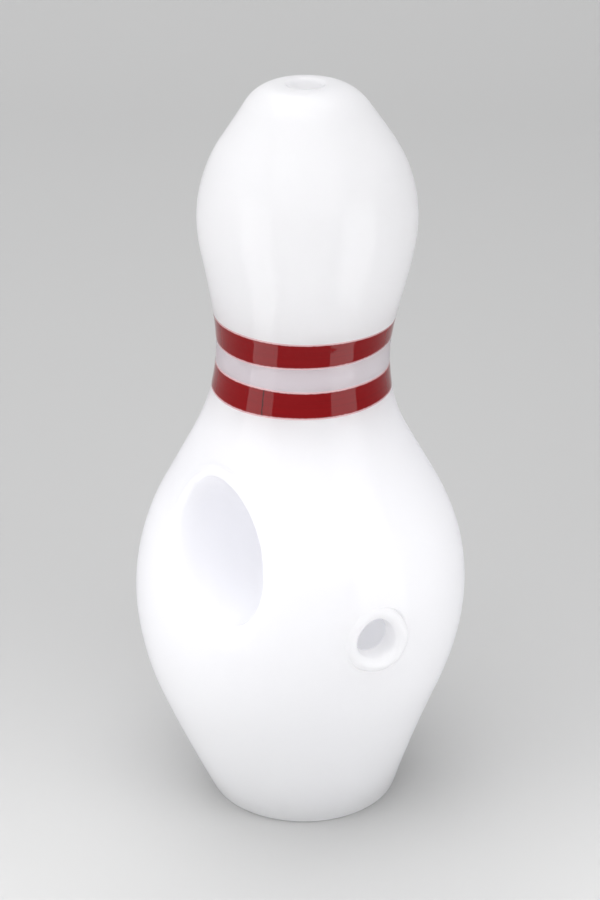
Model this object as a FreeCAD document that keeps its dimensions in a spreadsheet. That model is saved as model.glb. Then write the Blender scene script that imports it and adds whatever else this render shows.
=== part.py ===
import FreeCAD, Part
import math
import os
import Sketcher

# A hollow hand pipe of blown opal glass, shaped as a bowling pin. It stands on its foot:
# the origin is the centre of the foot's flat underside, +Z runs up the axis to the mouth hole,
# and the bowl and the carburettor hole are on the -Y side of the belly. Millimetres.

doc = FreeCAD.newDocument("glass_pin_pipe")

# ---- driving dimensions -------------------------------------------------------------------
# The outline of the pin is a chain of straight runs, each corner rounded by an arc.
# A corner is where two runs would meet: its radius from the axis, its height and its rounding.
DIMENSIONS = [
    ("height", 114.0, "foot to top of the mouth"),
    ("foot_radius", 14.4, "corner of the foot"),
    ("foot_round", 1.2, ""),
    ("flank_radius", 23.9, "corner low on the belly"),
    ("flank_height", 24.2, ""),
    ("flank_round", 48.0, ""),
    ("belly_radius", 26.8, "corner at the widest part"),
    ("belly_height", 40.9, ""),
    ("belly_round", 33.5, ""),
    ("neck_radius", 11.2, "corner at the waist, hollow side out"),
    ("neck_height", 69.2, ""),
    ("neck_round", 29.0, ""),
    ("head_radius", 17.4, "corner at the widest part of the head"),
    ("head_height", 98.4, ""),
    ("head_round", 20.5, ""),
    ("crown_radius", 7.0, "corner at the flat top"),
    ("crown_round", 6.5, ""),
    ("wall", 2.8, "blown wall, measured level"),
    ("foot_thickness", 4.0, "flat glass of the foot"),
    ("foot_disc_radius", 11.6, "disc that closes the belly's lower end"),
    ("chamber_base_radius", 13.0, "inside corner above the foot"),
    ("chamber_base_round", 2.5, ""),
    ("chamber_top_radius", 7.0, "inside corner under the mouth"),
    ("chamber_top_round", 3.0, ""),
    ("mouth_bore_radius", 2.5, "mouth hole"),
    ("mouth_lip_radius", 5.0, "outside of the gathered lip"),
    ("mouth_lip_depth", 5.0, "length of the mouth hole"),
    ("mouth_round", 0.9, "rounding at each end of the mouth hole"),
    ("upper_band_low", 75.9, "edges of the red wraps"),
    ("upper_band_high", 79.7, ""),
    ("lower_band_low", 68.4, ""),
    ("lower_band_high", 72.2, ""),
    ("band_floor_radius", 11.7, "floor of the channels that hold the red wraps"),
    ("bowl_azimuth", -35.0, "turn of the bowl from -Y towards +X, degrees"),
    ("bowl_rise", 24.0, "tilt of the bowl's mouth above level, degrees"),
    ("bowl_twist", 122.0, "lie of the oval, degrees from level"),
    ("bowl_axis_height", 39.6, "height at which the bowl's axis meets the pin's"),
    ("bowl_reach", 23.6, "centre of the oval, out along the bowl's axis"),
    ("bowl_long", 11.2, "half the length of the oval"),
    ("bowl_short", 7.3, "half the width of the oval"),
    ("bowl_depth", 14.5, "depth inside"),
    ("bowl_wall", 2.5, "glass of the bowl"),
    ("bowl_rim_round", 1.1, "rounding of the bowl's rim"),
    ("draught_radius", 1.5, "hole in the bottom of the bowl"),
    ("carb_azimuth", 27.5, "turn of the carburettor hole from -Y towards +X, degrees"),
    ("carb_rise", 2.0, "tilt of the carburettor hole above level, degrees"),
    ("carb_axis_height", 35.8, "height at which its axis meets the pin's"),
    ("carb_bore_radius", 2.65, "carburettor hole"),
    ("carb_lip_radius", 4.65, "outside of its ring"),
    ("carb_inner_end", 21.6, "inner end of the ring, out along its axis"),
    ("carb_shoulder", 24.7, "where the ring starts to round over, out along its axis"),
    ("clearance", 40.0, "reach of the cutting shapes beyond the glass"),
]

sheet = doc.addObject("Spreadsheet::Sheet", "Sizes")
for row, (alias, value, note) in enumerate(DIMENSIONS, start=1):
    sheet.set(f"A{row}", alias)
    sheet.set(f"B{row}", str(value))
    sheet.set(f"C{row}", note)
    sheet.setAlias(f"B{row}", alias)
doc.recompute()


def same(alias):
    """A size as it stands in the sheet: its value now, and the expression that binds it."""
    return sheet.get(alias), f"Sizes.{alias}"


def less(alias, other):
    """One size less another."""
    return sheet.get(alias) - sheet.get(other), f"Sizes.{alias} - Sizes.{other}"


def more(alias, other):
    """One size plus another."""
    return sheet.get(alias) + sheet.get(other), f"Sizes.{alias} + Sizes.{other}"


# ---- bodies of revolution -----------------------------------------------------------------
def half_section(body, name):
    """A sketch on the body's XZ plane: across is the radius, up is the height."""
    sketch = body.newObject("Sketcher::SketchObject", name)
    planes = [plane for plane in body.Origin.OriginFeatures if plane.Role == "XZ_Plane"]
    sketch.AttachmentSupport = [(planes[0], "")]
    sketch.MapMode = "FlatFace"
    return sketch


def bind(sketch, name, kind, places, size):
    """Adds one named dimension to a sketch and binds it to the sheet."""
    value, expression = size
    index = sketch.addConstraint(Sketcher.Constraint(kind, *places, value))
    sketch.renameConstraint(index, name)
    sketch.setExpression(f"Constraints.{name}", expression)


def turn(body, sketch, name):
    """Turns the sketch once round its own upright axis."""
    revolution = body.newObject("PartDesign::Revolution", name)
    revolution.Profile = sketch
    revolution.ReferenceAxis = (sketch, ["V_Axis"])
    revolution.Angle = 360
    return revolution


def unit(start, end):
    """The direction from one point to another."""
    step = end - start
    return step / step.Length


def rounded_solid(name, corners):
    """A solid of revolution. Level runs go from the axis to the first corner and from the last
    corner back to the axis, straight runs join the corners, and each corner is rounded."""
    body = doc.addObject("PartDesign::Body", name)
    sketch = half_section(body, name + "_outline")
    points = [FreeCAD.Vector(radius[0], height[0], 0) for radius, height, rounding in corners]
    below = FreeCAD.Vector(0, points[0].y, 0)
    above = FreeCAD.Vector(0, points[-1].y, 0)
    route = [below] + points + [above]

    starts, ends, arcs = [below], [], []
    for index, (radius, height, rounding) in enumerate(corners, start=1):
        came = unit(route[index - 1], route[index])
        goes = unit(route[index], route[index + 1])
        angle = came.getAngle(goes)
        reach = rounding[0] * math.tan(angle / 2)
        first = route[index] - came * reach
        last = route[index] + goes * reach
        inward = unit(route[index], (first + last) / 2)
        sagitta = rounding[0] * (1 / math.cos(angle / 2) - 1)
        middle = route[index] + inward * sagitta
        turns_left = came.x * goes.y - came.y * goes.x > 0
        ends.append(first)
        starts.append(last)
        arcs.append((Part.Arc(first, middle, last), turns_left))
    ends.append(above)

    runs = [sketch.addGeometry(Part.LineSegment(a, b)) for a, b in zip(starts, ends)]
    sketch.addConstraint(Sketcher.Constraint("Horizontal", runs[0]))
    sketch.addConstraint(Sketcher.Constraint("Horizontal", runs[-1]))
    axis = sketch.addGeometry(Part.LineSegment(above, below))
    sketch.addConstraint(Sketcher.Constraint("Coincident", runs[-1], 2, axis, 1))
    sketch.addConstraint(Sketcher.Constraint("Coincident", axis, 2, runs[0], 1))
    sketch.addConstraint(Sketcher.Constraint("PointOnObject", axis, 1, -2))
    sketch.addConstraint(Sketcher.Constraint("PointOnObject", axis, 2, -2))

    for index, (radius, height, rounding) in enumerate(corners):
        arc_shape, turns_left = arcs[index]
        arc = sketch.addGeometry(arc_shape)
        enters, leaves = (1, 2) if turns_left else (2, 1)
        sketch.addConstraint(Sketcher.Constraint("Tangent", runs[index], 2, arc, enters))
        sketch.addConstraint(Sketcher.Constraint("Tangent", arc, leaves, runs[index + 1], 1))
        corner = sketch.addGeometry(Part.Point(points[index]), True)
        sketch.addConstraint(Sketcher.Constraint("PointOnObject", corner, 1, runs[index]))
        sketch.addConstraint(Sketcher.Constraint("PointOnObject", corner, 1, runs[index + 1]))
        bind(sketch, f"radius_{index}", "DistanceX", (-1, 1, corner, 1), radius)
        bind(sketch, f"round_{index}", "Radius", (arc,), rounding)
        if height[0] > 0:
            bind(sketch, f"height_{index}", "DistanceY", (-1, 1, corner, 1), height)
        else:
            sketch.addConstraint(Sketcher.Constraint("PointOnObject", corner, 1, -1))
    turn(body, sketch, name + "_turned")
    return body


# ---- placing and cutting ------------------------------------------------------------------
def radial_place(azimuth, rise, axis_height):
    """The placement, as an expression, of a shape whose own +Z is to point out of the pin:
    it starts on the pin's axis, turned by the azimuth from -Y and tilted up by the rise."""
    return (
        f"placement(vector(0; 0; Sizes.{axis_height}); rotation(vector(0; 0; 1); Sizes.{azimuth}))"
        f" * placement(vector(0; 0; 0); rotation(vector(1; 0; 0); 90 - Sizes.{rise}))"
    )


def cylinder(name, radius, length, base=None, place=None):
    """A cylinder along its own +Z, on the pin's axis at a base height or placed freely."""
    shape = doc.addObject("Part::Cylinder", name)
    shape.setExpression("Radius", radius)
    shape.setExpression("Height", length)
    if base:
        shape.setExpression("Placement.Base.z", base)
    if place:
        shape.setExpression("Placement", place)
    return shape


def ellipsoid(name, long_half, short_half, depth, place):
    """An oval bowl shape: long across its own X, short across Y, deep along Z."""
    shape = doc.addObject("Part::Ellipsoid", name)
    shape.setExpression("Radius1", depth)
    shape.setExpression("Radius2", long_half)
    shape.setExpression("Radius3", short_half)
    shape.setExpression("Placement", place)
    return shape


def common(name, base, tool):
    """What two shapes share."""
    shape = doc.addObject("Part::Common", name)
    shape.Base = base
    shape.Tool = tool
    return shape


def cut(name, base, *tools):
    """The base less each tool in turn; the last cut carries the name."""
    shape = base
    for index, tool in enumerate(tools):
        last = index == len(tools) - 1
        step = doc.addObject("Part::Cut", name if last else f"{name}_step_{index}")
        step.Base = shape
        step.Tool = tool
        shape = step
    return shape


def rounded_edges(name, base, radius, chosen):
    """The base with the chosen edges rounded. chosen tests an edge of the finished base."""
    doc.recompute()
    numbers = [i for i, edge in enumerate(base.Shape.Edges, start=1) if chosen(edge)]
    rounded = doc.addObject("Part::Fillet", name)
    rounded.Base = base
    rounded.Edges = [(number, radius, radius) for number in numbers]
    return rounded


# ---- the blown wall -----------------------------------------------------------------------
envelope = rounded_solid("envelope", [
    (same("foot_radius"), (0.0, ""), same("foot_round")),
    (same("flank_radius"), same("flank_height"), same("flank_round")),
    (same("belly_radius"), same("belly_height"), same("belly_round")),
    (same("neck_radius"), same("neck_height"), same("neck_round")),
    (same("head_radius"), same("head_height"), same("head_round")),
    (same("crown_radius"), same("height"), same("crown_round")),
])
chamber = rounded_solid("chamber", [
    (same("chamber_base_radius"), same("foot_thickness"), same("chamber_base_round")),
    (less("flank_radius", "wall"), same("flank_height"), less("flank_round", "wall")),
    (less("belly_radius", "wall"), same("belly_height"), less("belly_round", "wall")),
    (less("neck_radius", "wall"), same("neck_height"), more("neck_round", "wall")),
    (less("head_radius", "wall"), same("head_height"), less("head_round", "wall")),
    (same("chamber_top_radius"), less("height", "mouth_lip_depth"), same("chamber_top_round")),
])
blown_wall = cut("blown_wall", envelope, chamber)

# ---- red wraps at the waist ---------------------------------------------------------------
# Each wrap is a strip of red glass melted into a shallow channel over a seal in the white tube,
# flush with the outside.
WIDE = "Sizes.belly_radius + Sizes.clearance"


def channel(name, low, high):
    """The ring-shaped space that a red wrap fills, from its floor out past the glass."""
    tall = f"Sizes.{high} - Sizes.{low}"
    outside = cylinder(name + "_outside", WIDE, tall, f"Sizes.{low}")
    floor = cylinder(name + "_floor", "Sizes.band_floor_radius", tall, f"Sizes.{low}")
    return cut(name, outside, floor)


upper_channel = channel("upper_channel", "upper_band_low", "upper_band_high")
lower_channel = channel("lower_channel", "lower_band_low", "lower_band_high")
upper_red_band = common("upper_red_band", envelope, upper_channel)
lower_red_band = common("lower_red_band", envelope, lower_channel)

# ---- head, neck and belly tubes -----------------------------------------------------------
# The white tube is sealed under the middle of each red wrap.
UPPER_SEAL = "(Sizes.upper_band_low + Sizes.upper_band_high) / 2"
LOWER_SEAL = "(Sizes.lower_band_low + Sizes.lower_band_high) / 2"
head_zone = cylinder("head_zone", WIDE, "Sizes.height", UPPER_SEAL)
neck_zone = cylinder("neck_zone", WIDE, f"{UPPER_SEAL} - {LOWER_SEAL}", LOWER_SEAL)
belly_zone = cylinder("belly_zone", WIDE, LOWER_SEAL)

lip_zone = cylinder("lip_zone", "Sizes.mouth_lip_radius", "Sizes.height", UPPER_SEAL)
head_shell = cut("head_shell", common("head_tube", blown_wall, head_zone), upper_channel, lip_zone)
neck_ring = cut(
    "neck_ring", common("neck_tube", blown_wall, neck_zone), upper_channel, lower_channel
)

# ---- mouth lip ----------------------------------------------------------------------------
# The head's end is gathered to a thick lip round the mouth hole, both ends of it fire-polished.
mouth_hole = cylinder("mouth_hole", "Sizes.mouth_bore_radius", "Sizes.height * 2")
lip_blank = cut("lip_blank", common("lip_disc", blown_wall, lip_zone), mouth_hole)


def is_mouth_edge(edge):
    """The two round edges of the mouth hole."""
    return (
        isinstance(edge.Curve, Part.Circle)
        and abs(edge.Curve.Radius - sheet.get("mouth_bore_radius")) < 0.01
    )


mouth_lip = rounded_edges("mouth_lip", lip_blank, sheet.get("mouth_round"), is_mouth_edge)

# ---- bowl ---------------------------------------------------------------------------------
# The belly's wall is pushed in to an oval cup with a draught hole in its bottom.
BOWL_PLACE = (
    radial_place("bowl_azimuth", "bowl_rise", "bowl_axis_height")
    + " * placement(vector(0; 0; Sizes.bowl_reach); rotation(vector(0; 0; 1); Sizes.bowl_twist))"
)
bowl_outside = ellipsoid(
    "bowl_outside",
    "Sizes.bowl_long + Sizes.bowl_wall",
    "Sizes.bowl_short + Sizes.bowl_wall",
    "Sizes.bowl_depth + Sizes.bowl_wall",
    BOWL_PLACE,
)
bowl_inside = ellipsoid(
    "bowl_inside", "Sizes.bowl_long", "Sizes.bowl_short", "Sizes.bowl_depth", BOWL_PLACE
)
draught_hole = cylinder(
    "draught_hole",
    "Sizes.draught_radius",
    "Sizes.bowl_depth * 2",
    place=BOWL_PLACE + " * placement(vector(0; 0; -2 * Sizes.bowl_depth); rotation(0; 0; 0))",
)
bowl_blank = cut("bowl_blank", common("bowl_push", envelope, bowl_outside), bowl_inside,
                 draught_hole)


def is_rim_edge(edge):
    """The edge where the inside of the bowl meets the outside of the belly."""
    points = edge.discretize(9)
    on_bowl = all(bowl_inside.Shape.Faces[0].distToShape(Part.Vertex(p))[0] < 0.01
                  for p in points)
    on_skin = all(envelope.Shape.distToShape(Part.Vertex(p))[0] < 0.01 for p in points)
    return on_bowl and on_skin and not envelope.Shape.isInside(points[4], 0.01, False)


bowl_cup = rounded_edges("bowl_cup", bowl_blank, sheet.get("bowl_rim_round"), is_rim_edge)

# ---- carburettor hole ---------------------------------------------------------------------
# A round hole with a raised ring of glass about it, sealed into the belly's wall.
CARB_PLACE = radial_place("carb_azimuth", "carb_rise", "carb_axis_height")


def ring_about_hole(name, bore, outside, inner_end, shoulder, place):
    """A tube with a half-round outer end, turned about its own +Z and then placed."""
    body = doc.addObject("PartDesign::Body", name)
    sketch = half_section(body, name + "_outline")
    low_in = FreeCAD.Vector(bore[0], inner_end[0], 0)
    low_out = FreeCAD.Vector(outside[0], inner_end[0], 0)
    high_out = FreeCAD.Vector(outside[0], shoulder[0], 0)
    high_in = FreeCAD.Vector(bore[0], shoulder[0], 0)
    crest = (high_in + high_out) / 2 + FreeCAD.Vector(0, (outside[0] - bore[0]) / 2, 0)
    base = sketch.addGeometry(Part.LineSegment(low_in, low_out))
    side = sketch.addGeometry(Part.LineSegment(low_out, high_out))
    over = sketch.addGeometry(Part.Arc(high_out, crest, high_in))
    hole = sketch.addGeometry(Part.LineSegment(high_in, low_in))
    for rule in (
        Sketcher.Constraint("Coincident", base, 2, side, 1),
        Sketcher.Constraint("Tangent", side, 2, over, 1),
        Sketcher.Constraint("Tangent", over, 2, hole, 1),
        Sketcher.Constraint("Coincident", hole, 2, base, 1),
        Sketcher.Constraint("Horizontal", base),
        Sketcher.Constraint("Vertical", side),
        Sketcher.Constraint("Vertical", hole),
    ):
        sketch.addConstraint(rule)
    bind(sketch, "bore", "DistanceX", (-1, 1, hole, 2), bore)
    bind(sketch, "outside", "DistanceX", (-1, 1, side, 1), outside)
    bind(sketch, "inner_end", "DistanceY", (-1, 1, hole, 2), inner_end)
    bind(sketch, "shoulder", "DistanceY", (-1, 1, side, 2), shoulder)
    turn(body, sketch, name + "_turned")
    body.setExpression("Placement", place)
    return body


carb_lip = ring_about_hole(
    "carb_lip",
    same("carb_bore_radius"),
    same("carb_lip_radius"),
    same("carb_inner_end"),
    same("carb_shoulder"),
    CARB_PLACE,
)
carb_seat = cylinder("carb_seat", "Sizes.carb_lip_radius", "Sizes.clearance", place=CARB_PLACE)

# ---- foot and belly -----------------------------------------------------------------------
# A flat disc closes the belly's lower end; the belly's wall comes down round it to the ground.
foot_zone = cylinder("foot_zone", "Sizes.foot_disc_radius", "Sizes.foot_thickness")
foot_disc = common("foot_disc", blown_wall, foot_zone)
belly_tube = common("belly_tube", blown_wall, belly_zone)
belly_shell = cut(
    "belly_shell", belly_tube, lower_channel, foot_zone, bowl_outside, carb_seat
)

# ---- check and write ----------------------------------------------------------------------
sub_parts = [
    mouth_lip, head_shell, upper_red_band, neck_ring, lower_red_band,
    belly_shell, bowl_cup, carb_lip, foot_disc,
]
doc.recompute()

for item in doc.Objects:
    if "Invalid" in item.State or "Error" in item.State:
        raise RuntimeError(f"{item.Label} failed: {item.State}")
for part in sub_parts:
    if part.Shape.isNull() or not part.Shape.isValid() or len(part.Shape.Solids) != 1:
        raise RuntimeError(f"{part.Label} is not one valid solid")

os.makedirs("parts", exist_ok=True)
for part in sub_parts:
    part.Shape.exportStep(f"parts/{part.Label}.step")
    print(f"{part.Label}: {part.Shape.Volume:.1f} mm3, {len(part.Shape.Faces)} faces")
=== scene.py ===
import math
import bpy
import numpy as np
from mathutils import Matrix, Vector


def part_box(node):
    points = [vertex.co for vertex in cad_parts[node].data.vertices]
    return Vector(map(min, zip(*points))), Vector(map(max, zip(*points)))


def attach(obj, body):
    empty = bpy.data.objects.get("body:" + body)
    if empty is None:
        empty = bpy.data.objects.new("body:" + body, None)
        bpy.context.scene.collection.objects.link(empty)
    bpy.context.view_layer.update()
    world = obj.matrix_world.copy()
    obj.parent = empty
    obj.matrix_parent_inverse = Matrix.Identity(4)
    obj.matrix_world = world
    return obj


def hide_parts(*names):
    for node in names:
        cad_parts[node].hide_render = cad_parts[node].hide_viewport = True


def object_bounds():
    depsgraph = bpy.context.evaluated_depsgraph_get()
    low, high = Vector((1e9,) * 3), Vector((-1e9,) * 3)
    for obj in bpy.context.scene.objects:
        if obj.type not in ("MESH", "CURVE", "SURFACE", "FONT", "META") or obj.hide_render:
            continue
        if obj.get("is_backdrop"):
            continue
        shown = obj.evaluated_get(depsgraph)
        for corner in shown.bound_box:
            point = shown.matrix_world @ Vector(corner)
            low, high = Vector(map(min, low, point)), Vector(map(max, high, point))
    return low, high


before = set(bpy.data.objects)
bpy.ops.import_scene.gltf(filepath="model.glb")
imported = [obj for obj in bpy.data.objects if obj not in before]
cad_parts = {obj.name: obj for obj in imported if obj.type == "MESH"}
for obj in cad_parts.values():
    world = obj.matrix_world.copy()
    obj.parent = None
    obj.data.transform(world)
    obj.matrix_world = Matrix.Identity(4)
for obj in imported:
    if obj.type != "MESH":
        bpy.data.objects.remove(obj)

cad_low, cad_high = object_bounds()

# ---- head shell ----------------------------------------------------------------------------
# The head is one bubble of white opal glass, blown thin and drawn in to the neck. It is open at
# the top, where the mouth lip closes it, and sealed to the neck ring under the upper red wrap.
MM = 0.001
COLUMNS = 288                # steps once round the pin
UPPER_LOW, UPPER_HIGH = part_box("upper_red_band")[0].z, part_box("upper_red_band")[1].z
LOWER_LOW, LOWER_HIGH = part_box("lower_red_band")[0].z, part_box("lower_red_band")[1].z
UPPER_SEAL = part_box("head_shell")[0].z
LOWER_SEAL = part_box("neck_ring")[0].z
TOP = cad_high.z
CROWN = TOP - 0.17 * MM      # the flame drew the rim down a little
LIP_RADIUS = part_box("mouth_lip")[1].x
CHANNEL_FLOOR = 11.7 * MM    # radius at the bottom of the channels that the red wraps lie in
WALL = 2.8                   # in mm, as the outlines below
CEILING = 5.0                # how thick the glass is over the chamber, in mm


def rounded_route(corners, step):
    """Straight runs with rounded corners, as points an even step apart. A corner is (across, up,
    rounding): its arc is tangent to both runs and starts rounding * tan(half the turn) short of
    the corner. The first and last entries are the ends of the route."""
    spots = np.array([corner[:2] for corner in corners], float)
    parts = [spots[:1]]
    for before, at, after, corner in zip(spots, spots[1:], spots[2:], corners[1:]):
        came = (at - before) / np.linalg.norm(at - before)
        goes = (after - at) / np.linalg.norm(after - at)
        turn = math.atan2(came[0] * goes[1] - came[1] * goes[0], came @ goes)
        start = at - came * corner[2] * math.tan(abs(turn) / 2)
        side = math.copysign(corner[2], turn)
        angles = np.linspace(0, turn, 2 + int(abs(corner[2] * turn) / step))
        bow = np.sin(angles)[:, None] * came * side
        sag = (1 - np.cos(angles))[:, None] * np.array([-came[1], came[0]]) * side
        parts.append(start + bow + sag)
    parts.append(spots[-1:])
    line = np.vstack(parts)
    length = np.append(0, np.cumsum(np.linalg.norm(np.diff(line, axis=0), axis=1)))
    even = np.linspace(0, length[-1], 1 + int(length[-1] / step))
    return even, np.interp(even, length, line[:, 0]), np.interp(even, length, line[:, 1])


def eased(values, reach):
    """Values averaged with their neighbours under a raised-cosine window, ends held."""
    window = np.hanning(2 * reach + 3)[1:-1]
    ends = np.pad(values, reach, mode="reflect", reflect_type="odd")
    return np.convolve(ends, window / window.sum(), mode="valid")


STEP = 0.05                  # between points of an outline, in mm
EASE_REACH = 70              # in such steps
FOOT_KEPT, CROWN_KEPT = 18, 16   # lengths of outline that keep their bends, in mm
EASE_OVER = 6                # in mm, over which the easing sets in beyond them
outline = [
    (0.0, 0.0, 0.0),
    (14.4, 0.0, 1.2),
    (23.9, 24.2, 48.0),
    (26.8, 40.9, 33.5),
    (11.2, 69.2, 29.0),
    (17.4, 98.4, 20.5),
    (6.88, CROWN / MM, 6.6),
    (0.0, CROWN / MM, 0.0),
]
skin_along, skin_radius, skin_up = rounded_route(outline, STEP)
# Soft glass flows to an even bend, so the joins of run and arc are eased, away from both ends.
soft = np.clip((skin_along - FOOT_KEPT) / EASE_OVER, 0, 1)
soft *= np.clip((skin_along[-1] - CROWN_KEPT - skin_along) / EASE_OVER, 0, 1)
skin_radius += soft * (eased(skin_radius, EASE_REACH) - skin_radius)
skin_up += soft * (eased(skin_up, EASE_REACH) - skin_up)
skin_along, skin_radius, skin_up = skin_along * MM, skin_radius * MM, skin_up * MM

lining_outline = [
    (0.0, 4.0, 0.0),
    (13.0, 4.0, 2.5),
    (23.9 - WALL, 24.2, 48.0 - WALL),
    (26.8 - WALL, 40.9, 33.5 - WALL),
    (11.2 - WALL, 69.2, 29.0 + WALL),
    (17.4 - WALL, 98.4, 20.5 - WALL),
    (7.0, TOP / MM - CEILING, 3.0),
    (0.0, TOP / MM - CEILING, 0.0),
]
lining_along, lining_radius, lining_up = rounded_route(lining_outline, STEP)
lining_along, lining_radius, lining_up = lining_along * MM, lining_radius * MM, lining_up * MM

# Turned by hand, the pin sways a little off its axis on the way up: height and sway in mm.
SWAY_REACH = 14              # in steps of sway_up
sway_up = np.linspace(0, 115, 461)
sway_knots = [(0, 0.56), (5, 0.11), (12, -0.28), (19, -0.43), (28, -0.15), (42, 0.14), (54, 0.15),
              (63, 0.01), (74, 0.40), (86, 0.98), (108, 1.07), (115, 0.65)]
sway = eased(np.interp(sway_up, *np.array(sway_knots).T), SWAY_REACH)


def place(turn, radius, up):
    """The point at a turn from -Y towards +X, a radius and a height, on the swaying axis."""
    across = radius * np.sin(turn) + np.interp(up / MM, sway_up, sway) * MM
    return np.stack(np.broadcast_arrays(across, -radius * np.cos(turn), up), -1)


def uneven(turn, up):
    """Share of the full radius left by hand turning: two low waves round, drifting with height."""
    slow = np.sin(2 * turn + 1.1 + up / (21 * MM)) + 0.5 * np.sin(3 * turn - 0.6 - up / (13 * MM))
    away_from_ends = np.clip(up / (12 * MM), 0, 1) * np.clip((TOP - up) / (9 * MM), 0, 1)
    return 1 - 0.0008 * (1.2 + slow) * away_from_ends


def skin(turn, along):
    """The outside of the glass, a distance along the outline up from the foot's centre."""
    up = np.interp(along, skin_along, skin_up)
    return place(turn, np.interp(along, skin_along, skin_radius) * uneven(turn, up), up)


def lining(turn, along):
    """The inside of the glass, a distance along the chamber's own outline."""
    up = np.interp(along, lining_along, lining_up)
    return place(turn, np.interp(along, lining_along, lining_radius), up)


def facing(surface, turn, along):
    """Which way a surface faces, by how it moves with a small turn and a small step along."""
    around = surface(turn + 0.004, along) - surface(turn - 0.004, along)
    upward = surface(turn, along + 0.15 * MM) - surface(turn, along - 0.15 * MM)
    out = np.cross(around, upward)
    return out / np.linalg.norm(out, axis=-1, keepdims=True)


def grid_facing(places):
    """Which way a grid faces, from its own steps. Its last column lies on its first."""
    around = np.gradient(places, axis=1)
    around[:, 0] = around[:, -1] = places[:, 1] - places[:, -2]
    out = np.cross(around, np.gradient(places, axis=0))
    return out / np.maximum(np.linalg.norm(out, axis=-1, keepdims=True), 1e-12)


def height_to_along(up):
    """Distance along the skin's outline at a height, on its sides."""
    return np.interp(up, skin_up, skin_along)


def lining_at(up):
    """Distance along the chamber's outline at a height, on its sides."""
    return np.interp(up, lining_up, lining_along)


def radius_at(up):
    """Radius of the skin's outline at a height, on its sides."""
    side = skin_along > 30 * MM
    return np.interp(up, skin_up[side], skin_radius[side])


def on_top(radius, radii, ups, alongs):
    """Distance along an outline to a radius on its flat top, where the radius falls to 0."""
    top = ups > ups[-1] - MM
    return np.interp(-radius, -radii[top], alongs[top])


def swept(rows):
    """A block of grid through rows of points, each row once round, and the way it faces."""
    places = np.stack(rows)
    return places, grid_facing(places)


def skin_block(low, high, rows):
    """A block of the skin between two distances along it, which may change with the turn."""
    share = np.linspace(0, 1, rows)[:, None]
    turn = np.broadcast_to(turns, (rows, COLUMNS + 1))
    along = low + (high - low) * share + 0 * turns
    return skin(turn, along), facing(skin, turn, along)


def lining_block(high, low, rows):
    """A block of the lining, from its upper edge down, facing the chamber."""
    along = np.linspace(high, low, rows)[:, None] + 0 * turns
    turn = np.broadcast_to(turns, along.shape)
    return lining(turn, along), -facing(lining, turn, along)


def glass_piece(name, blocks, chart=None):
    """One closed mesh from blocks of grid, each a pair of rows x columns x 3 arrays: points and
    the ways they face, with an optional third array that is true where a face is kept. Points on
    the same place are welded, and a face that has lost its fourth corner becomes a triangle.
    chart gives rows x columns x 2 arrays, one for each block, for the piece's UV map."""
    spots = np.concatenate([block[0].reshape(-1, 3) for block in blocks])
    ways = np.concatenate([block[1].reshape(-1, 3) for block in blocks])
    quads, start = [], 0
    for block in blocks:
        rows, columns = block[0].shape[:2]
        index = start + np.arange(rows * columns).reshape(rows, columns)
        quad = np.stack([index[:-1, :-1], index[:-1, 1:], index[1:, 1:], index[1:, :-1]], -1)
        quads.append(quad[block[2]] if len(block) > 2 else quad.reshape(-1, 4))
        start += rows * columns
    quads = np.concatenate(quads)
    keys = np.round(spots * 1e7 + 0.137).astype(np.int64)
    _, first, shared = np.unique(keys, axis=0, return_index=True, return_inverse=True)
    corners = shared.reshape(-1)[quads]
    kept = corners != np.roll(corners, -1, axis=1)
    kept &= (kept.sum(1) > 2)[:, None]
    sides = kept.sum(1)
    sides = sides[sides > 0]

    mesh = bpy.data.meshes.new(name)
    mesh.vertices.add(len(first))
    mesh.vertices.foreach_set("co", spots[first].astype(np.float32).ravel())
    mesh.loops.add(int(kept.sum()))
    mesh.loops.foreach_set("vertex_index", corners[kept].astype(np.int32))
    mesh.polygons.add(len(sides))
    mesh.polygons.foreach_set("loop_start", (np.cumsum(sides) - sides).astype(np.int32))
    mesh.update(calc_edges=True)
    if chart:
        flat = np.concatenate([part.reshape(-1, 2) for part in chart])
        layer = mesh.uv_layers.new(name="chart")
        layer.data.foreach_set("uv", flat[quads][kept].astype(np.float32).ravel())
    mesh.polygons.foreach_set("use_smooth", np.ones(len(sides), bool))
    mesh.normals_split_custom_set(ways[quads][kept].astype(np.float32))
    mesh.validate(verbose=False)
    piece = bpy.data.objects.new(name, mesh)
    bpy.context.scene.collection.objects.link(piece)
    return piece


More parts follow.
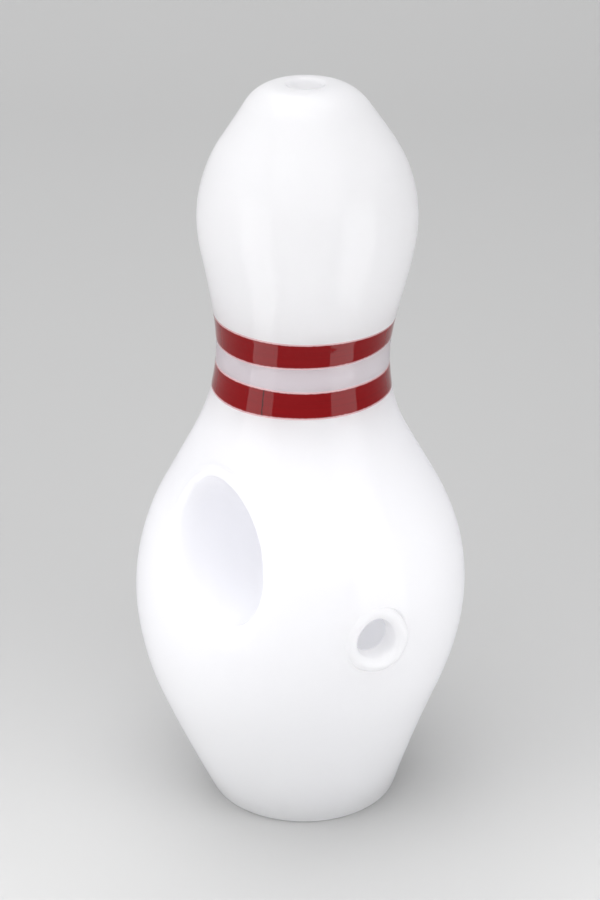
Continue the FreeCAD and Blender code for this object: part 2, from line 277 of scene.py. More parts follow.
class Flow:
    """One socket of a material. Sums written on flows add the Math nodes that work them out."""

    def __init__(self, tree, socket=None):
        self.tree = tree
        self.socket = socket

    def node(self, kind, settings, inputs, output=0):
        """Adds a node of a type. Its settings come first, then its sockets' values or links."""
        node = self.tree.nodes.new(kind)
        for key, value in settings.items():
            setattr(node, key, value)
        for key, value in inputs.items():
            if isinstance(value, Flow):
                self.tree.links.new(value.socket, node.inputs[key])
            else:
                node.inputs[key].default_value = value
        return Flow(self.tree, node.outputs[output]) if node.outputs else None

    def maths(self, operation, *terms):
        return self.node("ShaderNodeMath", {"operation": operation}, dict(enumerate(terms)))

    def __add__(self, other):
        return self.maths("ADD", self, other)

    def __mul__(self, other):
        return self.maths("MULTIPLY", self, other)

    def __sub__(self, other):
        return self.maths("SUBTRACT", self, other)

    def __rsub__(self, other):
        return self.maths("SUBTRACT", other, self)

    __radd__ = __add__
    __rmul__ = __mul__

    def between(self, low, high):
        """0 below low, 1 above high, and a smooth rise from one to the other."""
        settings = {"interpolation_type": "SMOOTHSTEP"}
        return self.node("ShaderNodeMapRange", settings, {"Value": self, 1: low, 2: high})

    def blend(self, share, other):
        """This colour turned to another by a share from 0 to 1."""
        settings = {"data_type": "RGBA"}
        return self.node("ShaderNodeMix", settings, {0: share, 6: self, 7: other}, 2)

    def noise(self, scale, detail=2.0):
        inputs = {"Vector": self, "Scale": scale, "Detail": detail}
        return self.node("ShaderNodeTexNoise", {}, inputs)

    def stretched(self, amount):
        """The same coordinates, stretched by a scale along each axis."""
        return self.node("ShaderNodeMapping", {}, {"Vector": self, "Scale": amount})


def new_material(name):
    """An empty material, a flow to start from and its Object coordinates."""
    material = bpy.data.materials.new(name)
    material.use_nodes = True
    material.node_tree.nodes.clear()
    start = Flow(material.node_tree)
    return material, start, start.node("ShaderNodeTexCoord", {}, {}, "Object")


def finish_material(start, values, through=0.0, glow=(0.9, 0.9, 0.9, 1.0)):
    """Ends a material in a Principled shader with the given sockets, mixed with a share of a
    Translucent one where light passes through the glass."""
    shader = start.node("ShaderNodeBsdfPrincipled", {}, values)
    if through:
        milk = start.node("ShaderNodeBsdfTranslucent", {}, {"Color": glow})
        shader = start.node("ShaderNodeMixShader", {}, {0: through, 1: shader, 2: milk})
    start.node("ShaderNodeOutputMaterial", {}, {"Surface": shader})


def opal_glass(name, tint=(0.95, 0.95, 0.955), hollow=None, glow=0.08):
    """Dense white opal glass under a fire-polished skin: milky and a touch cool, turning a little
    darker and warmer towards the bottom, below 45 mm, with faint smears of handling and the ripple
    of hand work.
    hollow is the range of the chart's second number over which the glass turns to a hollow's
    inner face, which gets a painted shade, cooler and a little darker, and a painted glow: an
    emission that stands in for the light that the wall lets in. glow is how strongly."""
    material, start, where = new_material(name)
    cloud = where.noise(38.0, 3.0)
    # Towards the bottom, below 45 mm, the white turns a little darker and warmer.
    toward_foot = where.node("ShaderNodeSeparateXYZ", {}, {"Vector": where}, "Z").between(0.045, 0.0)
    milk = start.node("ShaderNodeRGB", {}, {})
    milk.socket.default_value = (*tint, 1.0)
    warm = milk.blend(toward_foot, (0.91, 0.918, 0.90, 1.0))
    body = warm.blend(cloud.between(0.35, 0.75) * 0.5, (0.935, 0.938, 0.95, 1.0))
    seed = where.node("ShaderNodeTexVoronoi", {}, {"Vector": where, "Scale": 170.0}, "Distance")
    body = body.blend((1 - seed.between(0.02, 0.05)) * 0.10, (0.55, 0.56, 0.6, 1.0))
    # Painted light: an emission, black on the outer glass and lit on a hollow's inner face, stands
    # in for the light that the wall lets in.
    painted_glow = start.node("ShaderNodeRGB", {}, {})
    painted_glow.socket.default_value = (0.0, 0.0, 0.0, 1.0)
    if hollow:
        chart = start.node("ShaderNodeUVMap", {"uv_map": "chart"}, {})
        inner = chart.node("ShaderNodeSeparateXYZ", {}, {"Vector": chart}, "Y").between(*hollow)
        # Painted shade: a hollow's inner face is tinted cooler and a little darker.
        body = body.blend(inner, (0.92, 0.925, 0.945, 1.0))
        painted_glow = painted_glow.blend(inner, (glow, glow, 1.12 * glow, 1.0))
    smear = where.stretched((1.0, 1.0, 3.0)).noise(60.0, 4.0)
    ripple = where.stretched((1.0, 1.0, 2.4)).noise(90.0, 1.0)
    pits = where.noise(2600.0, 2.0)
    height = ripple * 1.0 + pits * 0.012
    bump = {"Strength": 0.35, "Distance": 0.00006, "Height": height}
    finish_material(start, {
        "Base Color": body,
        "Roughness": smear.between(0.3, 0.9) * 0.05 + 0.035,
        "IOR": 1.52,
        "Emission Color": painted_glow,
        "Emission Strength": 1.0,
        "Normal": start.node("ShaderNodeBump", {}, bump),
    }, 0.6, (0.985, 0.982, 0.99, 1.0))
    return material


turns = np.linspace(-math.pi, math.pi, COLUMNS + 1)


def band_edge(level, tilt, waver, dip=0.0):
    """Height round a red wrap's edge: level, tilted by degrees so that +X is lower, dipping by
    some height at the front, and wavering as the wrap was laid by hand. waver is the turn at
    which the wave starts."""
    wave = 0.06 * np.sin(2 * turns + waver) + 0.04 * np.sin(5 * turns - 2 * waver)
    tilted = radius_at(level) * math.tan(math.radians(tilt)) * np.sin(turns)
    return level - tilted - dip * np.cos(turns) + wave * MM


upper_top = band_edge(UPPER_HIGH, 1.2, 0.4)
upper_bottom = band_edge(UPPER_LOW + 0.20 * MM, -1.6, 2.1, 0.55 * MM)
lower_top = band_edge(LOWER_HIGH, 0.15, 4.0)
lower_bottom = band_edge(LOWER_LOW - 0.45 * MM, -0.1, 5.2, -0.10 * MM)
crown_along = on_top(LIP_RADIUS, skin_radius, skin_up, skin_along)
ceiling_along = on_top(LIP_RADIUS, lining_radius, lining_up, lining_along)
opal = opal_glass("opal_glass")

head_skin = skin_block(height_to_along(upper_top), crown_along, 90)
head_lining = lining_block(ceiling_along, lining_at(UPPER_SEAL), 50)
channel_low = place(turns, CHANNEL_FLOOR, UPPER_SEAL)
channel_high = place(turns, CHANNEL_FLOOR, upper_top)
head_shell = glass_piece("opal_head_bubble", [
    head_skin,
    swept([head_skin[0][-1], head_lining[0][0]]),
    head_lining,
    swept([head_lining[0][-1], channel_low]),
    swept([channel_low, channel_high]),
    swept([channel_high, head_skin[0][0]]),
])
head_shell.data.materials.append(opal)
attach(head_shell, "root")
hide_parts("head_shell")

# ---- mouth lip -----------------------------------------------------------------------------
# The end of the bubble, gathered in the flame to a thick lip and pierced. The hole's edges are
# fire-polished round.
HOLE = 2.5 * MM
FLAT_FROM = 3.4 * MM
ceiling = lining_up[-1]
flat_along = on_top(FLAT_FROM, skin_radius, skin_up, skin_along)
crown = skin_block(crown_along, flat_along, 10)
lip_corners = [
    (FLAT_FROM / MM, CROWN / MM, 0.0),
    (HOLE / MM, CROWN / MM, 0.6),
    (HOLE / MM, ceiling / MM, 0.8),
    (LIP_RADIUS / MM, ceiling / MM, 0.0),
]
_, lip_radius, lip_up = rounded_route(lip_corners, 0.12)
lip_rows = [place(turns, radius * MM, up * MM) for radius, up in zip(lip_radius, lip_up)]
lip_rows[0] = crown[0][-1]
mouth_lip = glass_piece("mouth_lip_ring", [
    crown,
    swept(lip_rows),
    swept([lip_rows[-1], crown[0][0]]),
])
mouth_lip.data.materials.append(opal)
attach(mouth_lip, "root")
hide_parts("mouth_lip")

# ---- red wraps -----------------------------------------------------------------------------
# Two strips of opaque red glass, laid hot round the neck over the seals and melted in nearly
# flush. Each stands a hair proud, and its thin edges let the white show through as a pink line.
PROUD = 0.05 * MM
BAND_ROWS = 17


def red_glass(name, butt=None):
    """Deep red glass, streaked round the neck by the pull of the wrap and pink at its thin
    edges. butt is the share of the way round at which the strip's two ends meet in a dark line."""
    material, start, _ = new_material(name)
    chart = start.node("ShaderNodeUVMap", {"uv_map": "chart"}, {})
    around = chart.node("ShaderNodeSeparateXYZ", {}, {"Vector": chart}, "X")
    across = chart.node("ShaderNodeSeparateXYZ", {}, {"Vector": chart}, "Y")
    ragged = chart.stretched((160.0, 3.0, 1.0)).noise(1.0, 2.0)
    streak = chart.stretched((5.0, 11.0, 1.0)).noise(1.0, 4.0)
    fine = chart.stretched((14.0, 46.0, 1.0)).noise(1.0, 3.0)
    red = start.node("ShaderNodeRGB", {}, {})
    red.socket.default_value = (0.190, 0.0006, 0.0022, 1.0)
    red = red.blend(streak.between(0.4, 0.75) * 0.55, (0.145, 0.0006, 0.002, 1.0))
    red = red.blend(fine.between(0.55, 0.8) * 0.35, (0.29, 0.0025, 0.006, 1.0))
    edge = across.maths("PINGPONG", across, 0.5) - ragged * 0.035
    thin = 1 - edge.between(0.015, 0.065)
    if butt is not None:
        beside = around - butt + (ragged - 0.5) * 0.004
        line = 1 - beside.maths("ABSOLUTE", beside).between(0.0006, 0.0017)
        red = red.blend(line * 0.85, (0.02, 0.0, 0.0005, 1.0))
    red = red.blend(thin, (0.62, 0.40, 0.42, 1.0))
    finish_material(start, {
        "Base Color": red,
        "Roughness": streak * 0.03 + 0.035,
        "IOR": 1.52,
        "Specular IOR Level": 0.22,
    })
    return material


def red_wrap(name, node, low, high, glass):
    """A ring: the skin between two edges, raised in the middle, down to the channel's floor."""
    share = np.linspace(0, 1, BAND_ROWS)[:, None]
    along = height_to_along(low) + (height_to_along(high) - height_to_along(low)) * share
    turn = np.broadcast_to(turns, along.shape)
    lift = PROUD * (1 - np.abs(2 * share - 1) ** 6)
    outside = skin(turn, along) + facing(skin, turn, along) * lift[..., None]
    floor_high = place(turns, CHANNEL_FLOOR, high)
    floor_low = place(turns, CHANNEL_FLOOR, low)
    blocks = [
        (outside, grid_facing(outside)),
        swept([outside[-1], floor_high]),
        swept([floor_high, floor_low]),
        swept([floor_low, outside[0]]),
    ]
    around = (turns / (2 * math.pi) + 0.5)[None, :]
    charts = [np.stack(np.broadcast_arrays(around, share), -1)]
    charts += [np.stack(np.broadcast_arrays(around, np.full((2, 1), 0.5)), -1)] * 3
    wrap = glass_piece(name, blocks, charts)
    wrap.data.materials.append(glass)
    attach(wrap, "root")
    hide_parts(node)


red_wrap("upper_red_wrap", "upper_red_band", upper_bottom, upper_top, red_glass("red_glass"))
red_wrap("lower_red_wrap", "lower_red_band", lower_bottom, lower_top,
         red_glass("red_glass_butted", butt=0.429))

# ---- neck ring -----------------------------------------------------------------------------
# A short length of the white tube, sealed to the head above and to the belly below, with a wrap
# laid over each seal. Its white is painted darker and pink-grey: painted shade for the concave,
# less lit neck, and a painted pink cast of the light from the red glass on either side.
neck_skin = skin_block(height_to_along(lower_top), height_to_along(upper_bottom), 12)
neck_lining = lining_block(lining_at(UPPER_SEAL), lining_at(LOWER_SEAL), 12)
neck_upper_channel = place(turns, CHANNEL_FLOOR, upper_bottom)
neck_upper_seal = place(turns, CHANNEL_FLOOR, UPPER_SEAL)
neck_lower_seal = place(turns, CHANNEL_FLOOR, LOWER_SEAL)
neck_lower_channel = place(turns, CHANNEL_FLOOR, lower_top)
neck_ring = glass_piece("opal_neck_ring", [
    neck_skin,
    swept([neck_skin[0][-1], neck_upper_channel]),
    swept([neck_upper_channel, neck_upper_seal]),
    swept([neck_upper_seal, neck_lining[0][0]]),
    neck_lining,
    swept([neck_lining[0][-1], neck_lower_seal]),
    swept([neck_lower_seal, neck_lower_channel]),
    swept([neck_lower_channel, neck_skin[0][0]]),
])
# Painted shade and painted light: the ring's whole colour is a darker, pink-grey white for the
# concave, less lit neck, with a pink cast of light from the red wraps.
neck_ring.data.materials.append(opal_glass("opal_glass_neck_painted_shade", (0.86, 0.78, 0.83)))
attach(neck_ring, "root")
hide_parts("neck_ring")

# ---- belly shell ---------------------------------------------------------------------------
# The large bubble of the belly. Its wall is opened for the bowl and for the carburettor ring,
# and comes down round the foot disc to the ground.
FOOT_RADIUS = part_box("foot_disc")[1].x
FOOT_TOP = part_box("foot_disc")[1].z
PAST_WALL = 34 * MM          # further from the axis than any wall
WINDOW_ROOM = 1.6 * MM       # between an opening's seam and the grid's window round it
WINDOW_RADIUS = 22 * MM      # at which that room is turned into an angle


def pointing(azimuth, rise):
    """Three directions for something set into the belly: to its right, up its face, and out."""
    a, r = math.radians(azimuth), math.radians(rise)
    out = np.array([math.sin(a) * math.cos(r), -math.cos(a) * math.cos(r), math.sin(r)])
    right = np.array([math.cos(a), math.sin(a), 0.0])
    return right, np.cross(out, right), out


def wall_radius(turn, up, inside):
    """Radius of the belly's wall at a height, on its skin or on its lining."""
    if inside:
        return np.interp(up, lining_up, lining_radius)
    return radius_at(up) * uneven(turn, up)


def meets_wall(start, out, inside=False):
    """How far each start point, inside the belly, is from the wall along a direction: the gap
    is halved until it closes. Also gives the turn and the distance along the outline there."""
    near = np.zeros(start.shape[:-1])
    far = near + PAST_WALL
    for _ in range(40):
        middle = (near + far) / 2
        spot = start + middle[..., None] * out
        x = spot[..., 0] - np.interp(spot[..., 2] / MM, sway_up, sway) * MM
        turn = np.arctan2(x, -spot[..., 1])
        within = np.hypot(x, spot[..., 1]) < wall_radius(turn, spot[..., 2], inside)
        near = np.where(within, middle, near)
        far = np.where(within, far, middle)
    along = lining_at(spot[..., 2]) if inside else height_to_along(spot[..., 2])
    return near, turn, along


def window_round(turn_grid, along_grid, rows, columns):
    """The turns and distances once round a rectangle of a grid, anticlockwise from outside."""
    top, bottom = rows[1], rows[0]
    left, right = columns
    path = [(bottom, c) for c in range(left, right)] + [(r, right) for r in range(bottom, top)]
    path += [(top, c) for c in range(right, left, -1)] + [(r, left) for r in range(top, bottom, -1)]
    path.append(path[0])
    index = tuple(np.array(path).T)
    return turn_grid[index], along_grid[index]


class Inset:
    """Something set into the belly's wall: a centre inside the belly, three directions, and the
    oval of its seam in the plane that faces out along its axis."""

    def __init__(self, azimuth, rise, twist, axis_height, long_half, short_half):
        right, up_face, self.out = pointing(azimuth, rise)
        t = math.radians(twist)
        self.long = right * math.cos(t) + up_face * math.sin(t)
        self.short = up_face * math.cos(t) - right * math.sin(t)
        self.centre = np.array([0, 0, axis_height])
        self.halves = (long_half, short_half)

    def point(self, x, y, z=0.0):
        x, y, z = np.broadcast_arrays(x, y, z)
        return (self.centre + x[..., None] * self.long + y[..., None] * self.short
                + z[..., None] * self.out)

    def seam(self, around):
        return self.halves[0] * np.cos(around), self.halves[1] * np.sin(around)

    def level(self, x, y, inside=False):
        """Height along the axis of the skin, or the lining, over a point of the face."""
        return meets_wall(self.point(x, y), self.out, inside)[0]

    def around_from(self, places):
        """The angle round the seam's oval that each place lies towards."""
        arm = places - self.centre
        return np.unwrap(np.arctan2(arm @ self.short / self.halves[1],
                                    arm @ self.long / self.halves[0]))


def wall_with_openings(surface, turn_grid, along_grid, insets, windows, inside):
    """The blocks of a wall: a collar from a window round each inset to the inset's seam, and
    last its grid, less those windows."""
    kept = np.ones((turn_grid.shape[0] - 1, turn_grid.shape[1] - 1), bool)
    blocks = []
    for inset, (rows, columns) in zip(insets, windows):
        kept[rows[0]:rows[1], columns[0]:columns[1]] = False
        turn_edge, along_edge = window_round(turn_grid, along_grid, rows, columns)
        around = inset.around_from(surface(turn_edge, along_edge))
        x, y = inset.seam(around)
        _, turn_seam, along_seam = meets_wall(inset.point(x, y), inset.out, inside)
        share = np.linspace(0, 1, 14)[:, None]
        turn = turn_edge + (turn_seam - turn_edge) * share
        along = along_edge + (along_seam - along_edge) * share
        blocks.append((surface(turn, along), facing(surface, turn, along)))
    blocks.append((surface(turn_grid, along_grid), facing(surface, turn_grid, along_grid), kept))
    return blocks


def turned_over(block):
    """The same block, facing the other way."""
    return tuple(part[::-1] if part.dtype == bool else part[::-1] * sign
                 for part, sign in zip(block, (1, -1, 1)))


def window_for(turn_grid, along_grid, inset, inside):
    """The rows and columns of a grid that clear an inset's seam by some room."""
    around = np.linspace(0, 2 * math.pi, 73)
    x, y = inset.seam(around)
    _, turn, along = meets_wall(inset.point(x, y), inset.out, inside)
    wide = WINDOW_ROOM / WINDOW_RADIUS
    columns = np.searchsorted(turn_grid[0], [turn.min() - wide, turn.max() + wide])
    middle = along_grid[:, columns.sum() // 2]
    reach = [along.min() - WINDOW_ROOM, along.max() + WINDOW_ROOM]
    return np.searchsorted(middle, reach), columns


def matching_windows(outer_grid, inner_grid, inset):
    """A window in the skin's grid and one in the lining's, of as many rows and columns."""
    outer_rows, outer_columns = window_for(*outer_grid, inset, False)
    inner_rows, inner_columns = window_for(*inner_grid, inset, True)
    columns = (min(outer_columns[0], inner_columns[0]), max(outer_columns[1], inner_columns[1]))
    count = max(outer_rows[1] - outer_rows[0], inner_rows[1] - inner_rows[0])
    starts = [rows.sum() // 2 - count // 2 for rows in (outer_rows, inner_rows)]
    return [((start, start + count), columns) for start in starts]


bowl = Inset(-35.0, 24.0, 122.0, 39.6 * MM, 14.4 * MM, 10.6 * MM)
carb = Inset(27.5, 2.0, 0.0, 35.8 * MM, 5.5 * MM, 5.5 * MM)
INSETS = (bowl, carb)

# The skin runs flat along the ground from the disc, turns up at the heel, and ends at the wrap.
HEEL_ALONG = 16.5 * MM
edge_along = height_to_along(lower_bottom)
near_foot = np.arange(FOOT_RADIUS, HEEL_ALONG, 0.2 * MM)
shares = np.append(near_foot, np.linspace(HEEL_ALONG, edge_along.mean(), 118))
shares = ((shares - FOOT_RADIUS) / (edge_along.mean() - FOOT_RADIUS))[:, None]
belly_along = FOOT_RADIUS + (edge_along - FOOT_RADIUS) * shares
belly_turn = np.broadcast_to(turns, belly_along.shape)
low_down = lining_up < 2 * FOOT_TOP
inner_low = np.interp(FOOT_RADIUS, lining_radius[low_down], lining_along[low_down])
inner_along = np.linspace(inner_low, lining_at(LOWER_SEAL), 130)[:, None] + 0 * turns
outer_grid = (belly_turn, belly_along)
inner_grid = (np.broadcast_to(turns, inner_along.shape), inner_along)
windows = [matching_windows(outer_grid, inner_grid, inset) for inset in INSETS]
outer_wall = wall_with_openings(skin, *outer_grid, INSETS, [w[0] for w in windows], False)
inner_wall = wall_with_openings(lining, *inner_grid, INSETS, [w[1] for w in windows], True)
belly_edge = outer_wall[-1][0]
inner_edge = inner_wall[-1][0]
belly_channel = place(turns, CHANNEL_FLOOR, lower_bottom)
belly_seal = place(turns, CHANNEL_FLOOR, LOWER_SEAL)
belly_blocks = [
    *outer_wall,
    *[swept([outer[0][-1], inner[0][-1]]) for outer, inner in zip(outer_wall[:-1], inner_wall)],
    swept([belly_edge[-1], belly_channel]),
    swept([belly_channel, belly_seal]),
    swept([belly_seal, inner_edge[-1]]),
    swept([inner_edge[0], belly_edge[0]]),
    *[turned_over(block) for block in inner_wall],
]
chamber_from = len(belly_blocks) - len(inner_wall)
belly_chart = []
for number, (places, *_) in enumerate(belly_blocks):
    # 0 on the skin, and on the chamber's wall more the further back, where it is better lit: the
    # share of painted glow and of painted shade tint that the wall gets.
    painted_glow_share = 0.35 + 0.65 * np.clip((places[..., 1] + 5 * MM) / (20 * MM), 0, 1)
    belly_chart.append(np.repeat((painted_glow_share * (number >= chamber_from))[..., None], 2, axis=-1))
belly_shell = glass_piece("opal_belly_bubble", belly_blocks, belly_chart)
# The chamber's wall gets the painted shade tint and a strong painted glow, an emission that stands
# in for light let in through the wall.
belly_shell.data.materials.append(opal_glass("opal_glass_belly", hollow=(0.0, 1.0), glow=0.24))
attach(belly_shell, "root")
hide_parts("belly_shell")

# ---- bowl ----------------------------------------------------------------------------------
# An oval cup pushed deep into the soft belly, with a small draught hole at its bottom. Its rim
# was rolled over on the left and stayed a crisp bead on the right, inside a faint sunk ring.
BOWL_DEEP = 15.3
CUP_DEEP = 17.0
BOWL_REACH = 23.6
CUP_WALL = 2.5
DRAUGHT = 1.5
ROUND = np.linspace(0, 2 * math.pi, 241)


def hollow_level(x, y, long_half, short_half, deep):
    """How far along the bowl's axis the lower half of an ellipsoid lies over a point, in mm."""
    left = 1 - (x / long_half) ** 2 - (y / short_half) ** 2
    return BOWL_REACH - deep * np.sqrt(np.maximum(left, 0))


def oval(long_half, short_half):
    return long_half * np.cos(ROUND), short_half * np.sin(ROUND)


def at_bowl(x, y, z):
    return bowl.point(x * MM, y * MM, z * MM)


def bowl_skin(x, y):
    return bowl.level(x * MM, y * MM) / MM


BOWL_LONG, BOWL_SHORT = 11.3, 7.3
seam_long, seam_short = bowl.halves[0] / MM, bowl.halves[1] / MM
# The share of the full oval at which the hollow comes out through the skin, found by halving.
low, high = np.full_like(ROUND, 0.5), np.full_like(ROUND, 1.0)
for _ in range(30):
    share = (low + high) / 2
    x, y = oval(BOWL_LONG * share, BOWL_SHORT * share)
    beneath = hollow_level(x, y, BOWL_LONG, BOWL_SHORT, BOWL_DEEP) < bowl_skin(x, y)
    low, high = np.where(beneath, share, low), np.where(beneath, high, share)
mouth = (low + high) / 2
mouth_x, mouth_y = oval(BOWL_LONG * mouth, BOWL_SHORT * mouth)
mouth_level = bowl_skin(mouth_x, mouth_y)
crisp = 0.5 + 0.5 * np.cos(ROUND + math.radians(75))
roll = 0.45 + 1.75 * (1 - crisp) ** 2
crisp = crisp ** 2
crown_side = np.clip(np.cos(ROUND + math.radians(25)), 0, 1) ** 2
reach = np.hypot(mouth_x, mouth_y)
lean_x, lean_y = mouth_x / reach, mouth_y / reach

cup_rows = []
start_x, start_y = mouth_x + lean_x * roll, mouth_y + lean_y * roll
seam_x, seam_y = oval(seam_long, seam_short)
for share in 1 - (1 - np.linspace(0, 1, 40)) ** 1.6:
    x = seam_x + (start_x - seam_x) * share
    y = seam_y + (start_y - seam_y) * share
    away = np.hypot(x - start_x, y - start_y)
    bead = 0.14 * np.exp(-(away / 0.35) ** 2) - 0.22 * np.exp(-((away - 0.5) / 0.2) ** 2)
    sunk = 0.30 * np.exp(-((away - 0.9) / 0.6) ** 2) * crown_side
    lift = (bead * crisp - sunk) * min(1, 4 * share)
    cup_rows.append(at_bowl(x, y, bowl_skin(x, y) + lift))
start = cup_rows.pop()
start_row = len(cup_rows)
lean = 0.35 * crisp
corner = at_bowl(mouth_x - lean_x * lean, mouth_y - lean_y * lean, mouth_level + 0.16 * crisp)
end_level = mouth_level - roll * 1.15
inner_share = np.sqrt(1 - ((BOWL_REACH - end_level) / BOWL_DEEP) ** 2)
end = at_bowl(*oval(BOWL_LONG * inner_share, BOWL_SHORT * inner_share), end_level)
for share in np.linspace(0, 1, 13):
    blend = (1 - share) ** 2 * start + 2 * share * (1 - share) * corner + share ** 2 * end
    cup_rows.append(blend)
for share in np.sin(np.linspace(0, math.pi / 2, 34))[1:]:
    x, y = oval(BOWL_LONG * inner_share * (1 - share) + DRAUGHT * share,
                BOWL_SHORT * inner_share * (1 - share) + DRAUGHT * share)
    cup_rows.append(at_bowl(x, y, hollow_level(x, y, BOWL_LONG, BOWL_SHORT, BOWL_DEEP)))
outside = (BOWL_LONG + CUP_WALL, BOWL_SHORT + CUP_WALL, CUP_DEEP)
for share in np.sin(np.linspace(0, math.pi / 2, 24)):
    x, y = oval(DRAUGHT + (outside[0] * 0.96 - DRAUGHT) * share,
                DRAUGHT + (outside[1] * 0.96 - DRAUGHT) * share)
    cup_rows.append(at_bowl(x, y, hollow_level(x, y, *outside)))
cup_rows.append(at_bowl(seam_x, seam_y, bowl.level(seam_x * MM, seam_y * MM, True) / MM))
cup_rows.append(cup_rows[0])
around = ROUND[None, :] / (2 * math.pi)
down = np.arange(len(cup_rows))[:, None] / (len(cup_rows) - 1)
bowl_chart = np.stack(np.broadcast_arrays(around, down), -1)
bowl_cup = glass_piece("opal_bowl_cup", [swept(cup_rows)], [bowl_chart])
# From just inside the rim down, the cup's inside gets the painted shade tint and a painted glow, an
# emission that stands in for light let in through the wall.
mouth_rows = (down[start_row + 1, 0], down[start_row + 12, 0])
bowl_cup.data.materials.append(opal_glass("opal_glass_bowl", hollow=mouth_rows))
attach(bowl_cup, "root")
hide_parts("bowl_cup")

# ---- carburettor ring ----------------------------------------------------------------------
# A short ring of opal rod set into the belly's side round the hole that the thumb closes. It is
# melted smoothly into the belly at its upper left and left with a sharp groove at lower right.
CARB_HOLE = 2.7
CARB_ROUND = 1.05
CARB_END = 21.6


def at_carb(radius, z):
    return carb.point(radius * np.cos(ROUND) * MM, radius * np.sin(ROUND) * MM, z * MM)


def carb_skin(radius):
    return carb.level(radius * np.cos(ROUND) * MM, radius * np.sin(ROUND) * MM) / MM


sharp_share = 0.5 + 0.5 * np.cos(ROUND + math.radians(42))
sharp_share = np.clip(1.4 * sharp_share - 0.1, 0, 1)
sharp_share = sharp_share * sharp_share * (3 - 2 * sharp_share)
lip_hole = CARB_HOLE + 0.7 * (1 - sharp_share)
crest = 25.15 + 0.6 * sharp_share
seam_radius = carb.halves[0] / MM + 0 * ROUND
seam_level = carb_skin(seam_radius)
centre_radius = lip_hole + CARB_ROUND
centre_level = crest - CARB_ROUND
foot_radius = centre_radius + CARB_ROUND
tangent = math.radians(70)
touch_radius = centre_radius + CARB_ROUND * math.cos(tangent)
touch_level = centre_level + CARB_ROUND * math.sin(tangent)

carb_rows = []
for step in np.linspace(0, 1, 21):
    along = min(step / 0.45, 1.0)
    angle = max(step - 0.45, 0) / 0.55 * tangent
    radius = seam_radius + (foot_radius - seam_radius) * along
    level = carb_skin(radius)
    level = level + (centre_level - 0.06 - level) * along ** 3 + CARB_ROUND * math.sin(angle)
    sharp = np.stack([radius + CARB_ROUND * (math.cos(angle) - 1), level])
    weights = ((1 - step) ** 2, 2 * step * (1 - step), step ** 2)
    bend = (0.5 * (seam_radius + touch_radius), 0.5 * (seam_level + touch_level) + 0.05)
    melted = np.stack([weights[0] * seam_radius + weights[1] * bend[0] + weights[2] * touch_radius,
                       weights[0] * seam_level + weights[1] * bend[1] + weights[2] * touch_level])
    carb_rows.append(at_carb(*(melted + (sharp - melted) * sharp_share)))
for angle in np.linspace(tangent, math.pi, 18)[1:]:
    radius = centre_radius + CARB_ROUND * math.cos(angle)
    carb_rows.append(at_carb(radius, centre_level + CARB_ROUND * math.sin(angle)))
for share in np.linspace(0, 1, 7)[1:]:
    radius = lip_hole + (CARB_HOLE - lip_hole) * share
    carb_rows.append(at_carb(radius, centre_level + (CARB_END + 0.3 - centre_level) * share))
for radius, rise in ((0.08, 0.12), (0.3, 0.0), (1.55, 0.0), (1.9, 0.12)):
    carb_rows.append(at_carb(CARB_HOLE + radius, CARB_END + rise + 0 * ROUND))
carb_rows.append(at_carb(seam_radius, carb.level(
    seam_radius * np.cos(ROUND) * MM, seam_radius * np.sin(ROUND) * MM, True) / MM))
carb_rows.append(carb_rows[0])
carb_lip = glass_piece("opal_carb_ring", [swept(carb_rows)])
carb_lip.data.materials.append(opal)
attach(carb_lip, "root")
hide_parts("carb_lip")

# ---- foot disc -----------------------------------------------------------------------------
# The pool of glass that closes the bubble underneath. It was flattened on a hot plate, so the
# pin stands on it.
disc_rows = [place(turns, radius, 0.0) for radius in np.linspace(0, FOOT_RADIUS, 30)]
disc_rows += [place(turns, radius, FOOT_TOP) for radius in np.linspace(FOOT_RADIUS, 0, 30)]
foot_disc = glass_piece("opal_foot_disc", [swept(disc_rows)])
foot_disc.data.materials.append(opal)
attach(foot_disc, "root")
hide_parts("foot_disc")

# ---- floor and backdrop --------------------------------------------------------------------
# A roll of plain pale paper: it lies flat under the pin, and runs up behind it in one bend.
# The bend starts well behind the pin, so that no edge of it is in view.
PAPER_NEAR, PAPER_BACK, PAPER_BEND, PAPER_TOP, PAPER_SIDE = 0.9, -0.35, 0.3, 1.4, 1.4
sweep = [(PAPER_NEAR, 0.0), (PAPER_BACK, 0.0)]
sweep += [(PAPER_BACK - PAPER_BEND * math.sin(a), PAPER_BEND * (1 - math.cos(a)))
          for a in np.linspace(0, math.pi / 2, 25)[1:]]
sweep.append((PAPER_BACK - PAPER_BEND, PAPER_TOP))
sweep_points = np.array([(x, -y, z) for x in (-PAPER_SIDE, PAPER_SIDE) for y, z in sweep])
count = len(sweep)
sweep_faces = [(i, i + count, i + 1 + count, i + 1) for i in range(count - 1)]
floor_mesh = bpy.data.meshes.new("floor")
floor_mesh.from_pydata(sweep_points.tolist(), [], sweep_faces)
floor_mesh.polygons.foreach_set("use_smooth", np.ones(len(sweep_faces), bool))
floor = bpy.data.objects.new("floor", floor_mesh)
bpy.context.scene.collection.objects.link(floor)
floor_paper, start, _ = new_material("floor_paper")
finish_material(start, {"Base Color": (0.50, 0.50, 0.50, 1.0), "Roughness": 0.8})
floor_mesh.materials.append(floor_paper)
floor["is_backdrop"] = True

# ---- studio light --------------------------------------------------------------------------
# Two tall soft boxes stand close by the pin at its left and right, and a wide one hangs over
# the camera. One more hangs above and one stands off at the left, and fill the shadows.


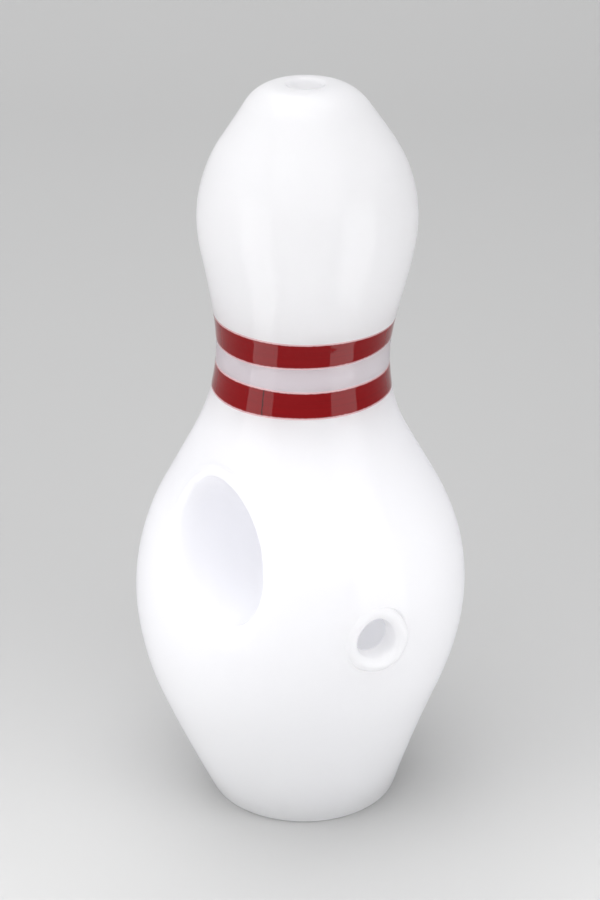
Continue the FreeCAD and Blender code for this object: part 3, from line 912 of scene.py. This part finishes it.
def soft_box(name, spot, aim, size, radiance):
    """A rectangular light of a size, at a spot, facing an aim, as bright as radiance."""
    light = bpy.data.lights.new(name, "AREA")
    light.shape = "RECTANGLE"
    light.size, light.size_y = size
    light.energy = radiance * math.pi * size[0] * size[1]
    lamp = bpy.data.objects.new(name, light)
    lamp.location = spot
    lamp.rotation_euler = (Vector(aim) - Vector(spot)).to_track_quat("-Z", "Y").to_euler()
    bpy.context.scene.collection.objects.link(lamp)


STRIP_AZIMUTH = math.radians(51)
STRIP_AWAY = 0.100
STRIP_WIDE, STRIP_TOP = 0.060, 0.122
for side in (-1, 1):
    x, y = side * STRIP_AWAY * math.sin(STRIP_AZIMUTH), -STRIP_AWAY * math.cos(STRIP_AZIMUTH)
    middle = STRIP_TOP / 2 + 0.001
    soft_box(f"strip_{side}", (x, y, middle), (0, 0, middle), (STRIP_WIDE, STRIP_TOP), 2.2)
soft_box("front", (0, -1.0, 0.95), (0, 0, 0.06), (2.0, 1.5), 1.12)
soft_box("top", (-0.1, 0.05, 0.9), (0, 0, 0.06), (1.0, 1.0), 2.3)
soft_box("left", (-1.0, -0.1, 0.45), (0, 0, 0.06), (0.8, 0.8), 0.6)

world = bpy.data.worlds.new("studio")
world.use_nodes = True
world.node_tree.nodes["Background"].inputs["Color"].default_value = (0.97, 0.98, 1.0, 1.0)
world.node_tree.nodes["Background"].inputs["Strength"].default_value = 0.20
bpy.context.scene.world = world
bpy.context.scene.view_settings.view_transform = "Standard"

# ---- camera --------------------------------------------------------------------------------
# It stands in front of the pin, a little over three times the pin's height away, and looks down
# on the middle of it.
aim = Vector((-0.05 * MM, 0, 57.08 * MM))
away, rise = 360.26 * MM, math.radians(25.037)
camera_data = bpy.data.cameras.new("camera")
camera_data.lens = 95.91
camera_data.sensor_width = 36.0
camera = bpy.data.objects.new("camera", camera_data)
camera.location = aim + Vector((0, -away * math.cos(rise), away * math.sin(rise)))
camera.rotation_euler = (aim - camera.location).to_track_quat("-Z", "Y").to_euler()
bpy.context.scene.collection.objects.link(camera)
bpy.context.scene.camera = camera

low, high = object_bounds()
